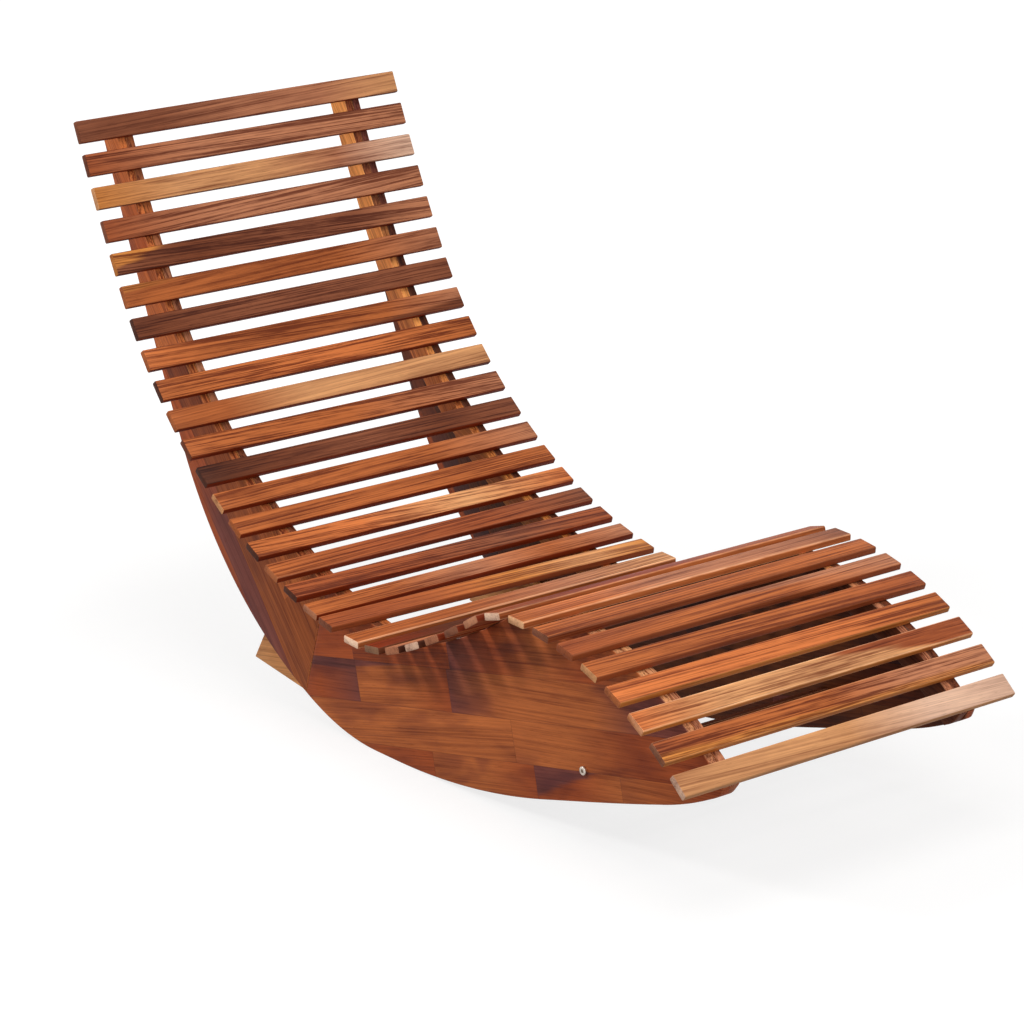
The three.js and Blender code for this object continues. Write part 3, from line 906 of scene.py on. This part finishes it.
class Staves:
    """Rows of staves glued edge to edge, each with its own plank."""

    # shade below 1 darkens every stave's tones: painted shade of the inner faces
    def __init__(self, seed, angle, origin, rows, middle, shade=1.0):
        angle = math.radians(angle)
        self.along = Vector((math.cos(angle), 0, math.sin(angle)))
        self.across = Vector((-math.sin(angle), 0, math.cos(angle)))
        self.origin = Vector((origin[0], middle, origin[1]))
        self.rows = []
        top = NO_BORDER
        for low, staves in rows:
            start, made = -NO_BORDER, []
            for end, tones, figure, *second in staves:
                left, right = max(start, STAVE_REACH[0]), min(end, STAVE_REACH[1])
                middle = (self.origin + self.along * (left + right) / 2
                          + self.across * (low + top) / 2)
                plank = Plank(f"{seed} {low} {end}", middle, self.along, self.across, right - left,
                              tones, figure, *(second or [None]), shade, STAVE_PATCHES)
                made.append((start, end, plank))
                start = end
            self.rows.append((low, top, made))
            top = low

    def place(self, point):
        gap = point - self.origin
        return gap.dot(self.along), gap.dot(self.across)

    def cut(self, bm):
        """Cuts the body's faces along every glue line and where a stave's tones change."""
        for low, _, _ in self.rows[:-1]:
            self.split(bm, list(bm.faces), self.across, self.origin + self.across * low)
        for low, top, staves in self.rows:
            ends = {end for _, end, _ in staves[:-1]}
            for _, _, plank in staves:
                middle = self.place(plank.origin)[0]
                steps = len(plank.tones) - 1
                ends.update(middle + plank.length * (step / steps - 0.5)
                            for step in range(1, steps))
            for end in sorted(ends):
                faces = [face for face in bm.faces
                         if low <= self.place(face.calc_center_median())[1] < top]
                self.split(bm, faces, self.along, self.origin + self.along * end)

    def split(self, bm, faces, normal, point):
        geometry = set(faces)
        for face in faces:
            geometry.update(face.verts)
            geometry.update(face.edges)
        bmesh.ops.bisect_plane(bm, geom=list(geometry), plane_co=point, plane_no=normal)

    def find(self, point):
        """The plank at a point, and its distances from the glue lines as a function."""
        u, v = self.place(point)
        low, top, staves = next(row for row in self.rows if v >= row[0] or row is self.rows[-1])
        start, end, plank = next(stave for stave in staves if u < stave[1] or stave is staves[-1])

        def glue(local):
            u, v = self.place(plank.origin + plank.along * local[0] + plank.across * local[1]
                              + plank.up * local[2])
            return (v - low, top - v, u - start, end - u)

        return plank, glue


def side_of(node):
    return -1 if node.endswith("right") else 1


def facing(face, side):
    """Whether a face of a board in the sides is its top edge, or looks outwards or inwards."""
    if abs(face.normal.y) < FLAT_FACING:
        return "top" if face.normal.z > TOP_FACING else "outside"
    return "outside" if face.normal.y * side > 0 else "inside"


def edge_plank(obj, seed, tones, figure):
    """A plank from one end of a board to the other, for the edge that carries the slats."""
    corners = [vert.co for vert in obj.data.vertices]
    left = min(corners, key=lambda c: c.x)
    right = max(corners, key=lambda c: c.x)
    middle, along = (left + right) / 2, right - left
    middle.y = sum(c.y for c in corners) / len(corners)
    along.y = 0
    length = along.length
    along.normalize()
    return Plank(seed, middle, along, Vector((-along.z, 0, along.x)), length, tones, figure)


def make_panel(node, angle, origin, rows):
    low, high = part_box(node)
    middle, side = (low.y + high.y) / 2, side_of(node)
    staves = Staves(node, angle, origin, rows, middle)
    # The inner faces get the same staves, darkened as painted shade for the shadow inside the chair
    painted_shade_staves = Staves(node + " inside", angle, origin, rows, middle, INNER_PAINTED_SHADE)
    bm = board_body(node, PANEL_ROUNDING)
    staves.cut(bm)
    obj = object_from(bm, node + "_glued")
    top = edge_plank(obj, node + " top", *PANEL_TOPS[node])

    def planks(face):
        way = facing(face, side)
        if way == "top":
            return top, no_glue
        return (painted_shade_staves if way == "inside" else staves).find(face.center)

    finish_wood(obj, planks, BORDER_UNIT)
    dress(obj, node)


def make_rail(node, face_tones, top_tones):
    obj = object_from(board_body(node, RAIL_ROUNDING), node + "_sawn")
    plank = edge_plank(obj, node, face_tones, RAIL_FIGURE)
    top = edge_plank(obj, node + " top", top_tones, RAIL_TOP_FIGURE)
    side = side_of(node)

    def planks(face):
        return top if facing(face, side) == "top" else plank, no_glue

    finish_wood(obj, planks, BORDER_UNIT)
    dress(obj, node)


# Pieces softened from their CAD shape

def softened(node, suffix, radius, shortest=0.0):
    """The node's own shape with its sharp edges rounded, from a shortest length up."""
    bm = bmesh.new()
    bm.from_mesh(frame["nodes"][node].data)
    bmesh.ops.remove_doubles(bm, verts=bm.verts, dist=CAD_GRID)
    bmesh.ops.dissolve_limit(bm, angle_limit=math.radians(FLAT_TURN), verts=bm.verts,
                             edges=bm.edges)
    sharp = [e for e in bm.edges if len(e.link_faces) == 2 and e.calc_length() > shortest
             and e.calc_face_angle() > math.radians(EDGE_TURN)]
    # The rounded faces carry the full arris mark: pale rubbing with a painted highlight
    arris_marks = bm.verts.layers.float.new("edge")
    made = bmesh.ops.bevel(bm, geom=sharp, offset=radius, segments=SOFTENED_STEPS, profile=0.5,
                           affect="EDGES", clamp_overlap=True)
    rounds = set(made["faces"])
    for vert in bm.verts:
        inside = vert.link_faces and all(face in rounds for face in vert.link_faces)
        vert[arris_marks] = 1.0 if inside else 0.0
    return object_from(bm, node + suffix)


def dress_plank(obj, node, plank):
    """Dresses a piece that is one plank all over."""
    finish_wood(obj, lambda face: (plank, no_glue), BORDER_UNIT)
    dress(obj, node)


def make_board(node, tones, figure):
    obj = softened(node, "_cut", SOFTENED_EDGE, BORE_RIM)
    dress_plank(obj, node, edge_plank(obj, node, tones, figure))


def make_spreader(node, tones, figure):
    obj = softened(node, "_cut", SOFTENED_EDGE, BORE_RIM)
    low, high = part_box(node)
    plank = Plank(node, (low + high) / 2, ALONG_Y, ALONG_X, high.y - low.y, tones, figure)
    dress_plank(obj, node, plank)


def make_fitting(node):
    dress(softened(node, "_plated", SOFTENED_FITTING), node)


# Turned fasteners

def hexagon(across_flats):
    def radius(angle):
        turn = (angle + math.pi / 6) % (math.pi / 3) - math.pi / 6
        return across_flats / 2 / math.cos(turn)
    return radius


def cross(reach, width):
    def radius(angle):
        turn = (angle + math.pi / 4) % (math.pi / 2) - math.pi / 4
        side = width / 2 / max(abs(math.sin(turn)), 1e-6)
        return min(reach / math.cos(turn), side)
    return radius


def circle(radius):
    return lambda angle: radius


def fastener_place(node):
    """Middle of a fastener's CAD node, its side, its near and far end from y = 0 and its radius."""
    low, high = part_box(node)
    side = -1 if low.y + high.y < 0 else 1
    near, far = sorted((abs(low.y), abs(high.y)))
    return (low + high) / 2, side, near, far, (high.x - low.x) / 2


def make_turned(node, middle, side, start, sections):
    """A fastener along Y through sections (reach outwards from the start, radius by angle)."""
    rings = []
    for reach, radius in sections:
        ring = []
        for step in range(TURNED_SIDES):
            angle = math.tau * step / TURNED_SIDES
            x, z = radius(angle) * math.cos(angle), radius(angle) * math.sin(angle)
            ring.append(Vector((middle.x, side * start, middle.z)) + Vector((x, side * reach, z)))
        rings.append(ring)
    body = loft(rings, [[0.0] * TURNED_SIDES] * len(rings))
    dress(object_from(body, node + "_turned"), node)


def make_bolt(node):
    middle, side, _, far, radius = fastener_place(node)
    low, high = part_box("front_panel_" + ("right" if side < 0 else "left"))
    surface = max(abs(low.y), abs(high.y))
    head = far - surface
    sections = [
        (-BOLT_DEPTH, circle(radius * BOLT_SHANK)),
        (HEAD_FOOT, circle(radius * BOLT_SHANK)),
        (HEAD_FOOT, circle(radius * HEAD_FOOT_RADIUS)),
        (HEAD_SIDE, circle(radius)),
    ]
    for inset, depth, _ in reversed(rounded(ROUNDING_STEPS)):
        sections.append((head - depth * HEAD_ROUNDING, circle(radius - inset * HEAD_ROUNDING)))
    sections += [
        (head, circle(radius * SOCKET_MOUTH)),
        (head - SOCKET_TOP, hexagon(radius * SOCKET_FLATS)),
        (head - SOCKET_FLOOR, hexagon(radius * SOCKET_FLATS)),
        (head - SOCKET_TIP, circle(radius * SOCKET_TIP_RADIUS)),
    ]
    make_turned(node, middle, side, surface, sections)


def make_screw(node):
    middle, side, near, far, radius = fastener_place(node)
    length = far - near
    sections = [
        (RECESS_TIP, circle(radius * RECESS_TIP_RADIUS)),
        (RECESS_FLOOR, cross(*(radius * share for share in RECESS_FLOOR_ARMS))),
        (0.0, cross(*(radius * share for share in RECESS_MOUTH_ARMS))),
        (0.0, circle(radius * SCREW_FACE)),
        (SCREW_RIM[0], circle(radius)),
        (SCREW_RIM[1], circle(radius)),
        (radius * SCREW_CONE, circle(radius * SCREW_CORE)),
        (length * SCREW_TAPER, circle(radius * SCREW_CORE)),
        (length, circle(radius * SCREW_TIP)),
    ]
    make_turned(node, middle, side, near, sections)


# Assembly of the looks

def make_pieces():
    for node, look in zip(sorted(SLATS), SLAT_LOOKS):
        make_slat(node, look)
    for node, (face_tones, top_tones) in RAIL_LOOKS.items():
        make_rail(node, face_tones, top_tones)
    for side in ("right", "left"):
        make_panel("front_panel_" + side, FRONT_STAVE_ANGLE, FRONT_STAVE_ORIGIN, FRONT_STAVES)
        make_panel("rear_panel_" + side, REAR_STAVE_ANGLE, REAR_STAVE_ORIGIN, REAR_STAVES)
        make_board("stop_board_" + side, *BOARD_LOOK)
        make_bolt("spreader_bolt_" + side)
        make_fitting("spreader_barrel_nut_" + side)
        for number in (1, 2, 3):
            make_screw(f"stop_board_screw_{side}_{number}")
    make_spreader("front_spreader", *SPREADER_LOOK)


# Stage

def ray_is(tree, *kinds):
    """1 for the kinds of ray named, and 0 for the others."""
    rays = tree.nodes.new("ShaderNodeLightPath")
    total = rays.outputs[kinds[0]]
    for kind in kinds[1:]:
        add = tree.nodes.new("ShaderNodeMath")
        add.operation = "MAXIMUM"
        tree.links.new(total, add.inputs[0])
        tree.links.new(rays.outputs[kind], add.inputs[1])
        total = add.outputs[0]
    return total


def make_world():
    world = bpy.data.worlds.new("studio")
    bpy.context.scene.world = world
    world.use_nodes = True
    tree = world.node_tree
    shade = tree.nodes["Background"]
    seen = ray_is(tree, *SEEN_RAYS)
    strength = tree.nodes.new("ShaderNodeMapRange")
    tree.links.new(seen, strength.inputs["Value"])
    strength.inputs["To Min"].default_value = WORLD_LIGHT
    strength.inputs["To Max"].default_value = 1.0
    shade.inputs["Color"].default_value = (1, 1, 1, 1)
    tree.links.new(strength.outputs["Result"], shade.inputs["Strength"])


def floor_material():
    """Pale floor that glows for the camera, more so away from the object."""
    material = bpy.data.materials.new("floor")
    material.use_nodes = True
    tree = material.node_tree
    shader = tree.nodes["Principled BSDF"]
    shader.inputs["Base Color"].default_value = (*FLOOR_COLOUR, 1)
    shader.inputs["Roughness"].default_value = FLOOR_ROUGHNESS
    shader.inputs["Specular IOR Level"].default_value = 0.0
    shader.inputs["Emission Color"].default_value = (1, 1, 1, 1)
    reach = tree.nodes.new("ShaderNodeVectorMath")
    reach.operation = "LENGTH"
    place = tree.nodes.new("ShaderNodeTexCoord").outputs["Object"]
    tree.links.new(place, reach.inputs[0])
    fade = tree.nodes.new("ShaderNodeMapRange")
    ends = (*FLOOR_FADE, FLOOR_GLOW, FLOOR_GLOW_AWAY)
    for name, value in zip(("From Min", "From Max", "To Min", "To Max"), ends):
        fade.inputs[name].default_value = value
    tree.links.new(reach.outputs["Value"], fade.inputs["Value"])
    glow = tree.nodes.new("ShaderNodeMath")
    glow.operation = "MULTIPLY"
    tree.links.new(ray_is(tree, *SEEN_RAYS), glow.inputs[0])
    tree.links.new(fade.outputs["Result"], glow.inputs[1])
    tree.links.new(glow.outputs[0], shader.inputs["Emission Strength"])
    return material


def make_floor():
    bm = bmesh.new()
    half = FLOOR_SIZE / 2
    corners = ((-half, -half, 0), (half, -half, 0), (half, half, 0), (-half, half, 0))
    bm.faces.new([bm.verts.new(corner) for corner in corners])
    mesh = bpy.data.meshes.new("floor")
    bm.to_mesh(mesh)
    bm.free()
    floor = new_object("floor", mesh)
    mesh.materials.append(floor_material())


def make_light(name, place, size, power):
    light = bpy.data.lights.new(name, "AREA")
    light.shape = "DISK"
    light.size = size
    light.energy = power
    obj = new_object(name, light)
    obj.location = place
    aim = Vector(LIGHT_AIM) - Vector(place)
    obj.rotation_euler = aim.to_track_quat("-Z", "Y").to_euler()


def make_camera():
    camera = bpy.data.cameras.new("camera")
    camera.lens = CAMERA_LENS
    camera.sensor_width = CAMERA_SENSOR
    camera.sensor_fit = "HORIZONTAL"
    camera.clip_end = CAMERA_REACH
    obj = new_object("camera", camera)
    obj.location = CAMERA_PLACE
    obj.rotation_euler = Euler([math.radians(v) for v in CAMERA_TURN])
    bpy.context.scene.camera = obj


make_pieces()
make_world()
make_floor()
make_light("key", **KEY_LIGHT)
make_light("top", **TOP_LIGHT)
make_light("front", **FRONT_LIGHT)
make_camera()
bpy.context.scene.view_settings.view_transform = "Standard"
